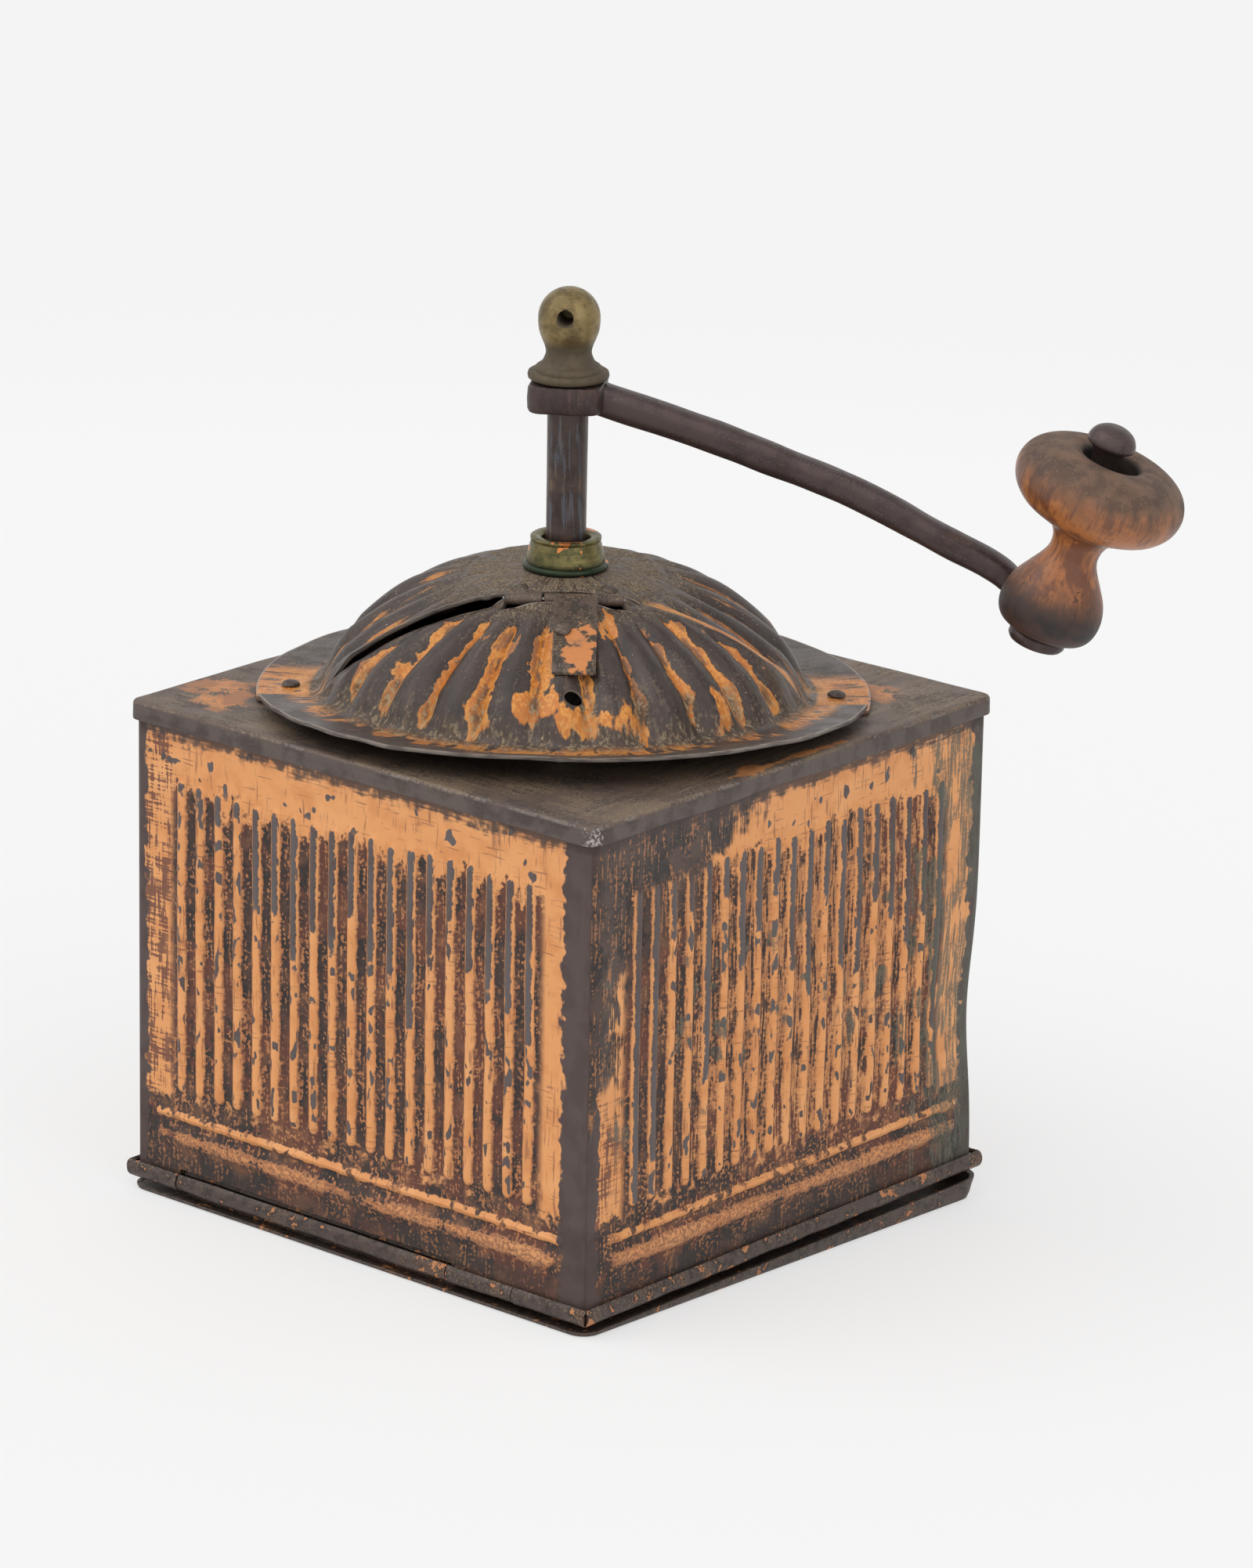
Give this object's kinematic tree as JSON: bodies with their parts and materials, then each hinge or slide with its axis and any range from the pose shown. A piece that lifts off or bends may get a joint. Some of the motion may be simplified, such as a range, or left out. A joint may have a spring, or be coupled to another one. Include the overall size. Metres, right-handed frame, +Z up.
{
  "type": "coffee grinder",
  "caption": "Old square tin box coffee mill with a fluted dome, sprung half lid, iron crank with a loose wooden knob, brass ball nut and hinged bottom door.",
  "frame": {"origin": "centre of the flat bottom of the door pan that the mill stands on", "axes": "+Z up; +X and +Y along the sides of the square box; the half lid opens toward the corner between +X and -Y, and the door's hinge runs along the -Y side"},
  "size_m": [0.1733, 0.1259, 0.1859],
  "materials": {
    "lacquered_tin": "worn lacquer",
    "worn_tin": "worn, dusty",
    "dark_iron": "browned",
    "cast_iron": "as cast",
    "plain_steel": "dull",
    "brass": "tarnished",
    "green_brass": "lacquered, chipped",
    "turned_wood": "worn varnish"
  },
  "bodies": {
    "mill": {"wall_front": "lacquered_tin", "wall_right": "lacquered_tin", "wall_back": "lacquered_tin", "wall_left": "lacquered_tin", "rim_wire": "plain_steel", "cover_plate": "worn_tin", "dome_rear": "worn_tin", "tab_rivet_left": "worn_tin", "tab_rivet_right": "worn_tin", "hinge_leaf": "worn_tin", "hinge_pin": "plain_steel", "hinge_rivet_left": "worn_tin", "hinge_rivet_right": "worn_tin", "spindle_collar": "green_brass", "burr_housing": "cast_iron", "housing_screw_1": "plain_steel", "housing_screw_2": "plain_steel", "housing_screw_3": "plain_steel", "housing_screw_4": "plain_steel", "housing_nut_1": "plain_steel", "housing_nut_2": "plain_steel", "housing_nut_3": "plain_steel", "housing_nut_4": "plain_steel", "upper_bridge": "dark_iron", "lower_bridge": "dark_iron", "bridge_screw_left": "plain_steel", "bridge_screw_right": "plain_steel", "adjuster_locknut": "plain_steel"},
    "lid": {"lid_shell": "worn_tin", "lid_strap": "worn_tin", "strap_rivet": "worn_tin"},
    "crank": {"spindle": "dark_iron", "burr_pin": "plain_steel", "inner_burr": "cast_iron", "crank_arm": "dark_iron", "knob_pin": "dark_iron", "ball_nut": "brass"},
    "knob": {"wood_knob": "turned_wood"},
    "door": {"door_pan": "worn_tin"},
    "adjuster": {"adjusting_screw": "brass"}
  },
  "joints": [
    {"name": "crank_turn", "type": "hinge", "parent": "mill", "child": "crank", "pos_m": [0, 0.00011, 0.00201], "axis": [0, -0.034, 0.9994], "continuous": true},
    {"name": "knob_spin", "type": "hinge", "parent": "crank", "child": "knob", "pos_m": [0.08616, 0.03517, 0.12631], "axis": [0.3097, 0.1091, 0.9445], "continuous": true},
    {"name": "lid_open", "type": "hinge", "parent": "mill", "child": "lid", "pos_m": [0.01078, -0.01693, 0.1276], "axis": [-0.7638, -0.6451, -0.022], "range_deg": [0, 90]},
    {"name": "door_open", "type": "hinge", "parent": "mill", "child": "door", "pos_m": [0, -0.0589, 0.0043], "axis": [-1, 0, 0], "range_deg": [0, 110]},
    {"name": "adjuster_turn", "type": "hinge", "parent": "mill", "child": "adjuster", "pos_m": [0, 0.00011, 0.00201], "axis": [0, -0.034, 0.9994], "range_deg": [-180, 180]}
  ]
}
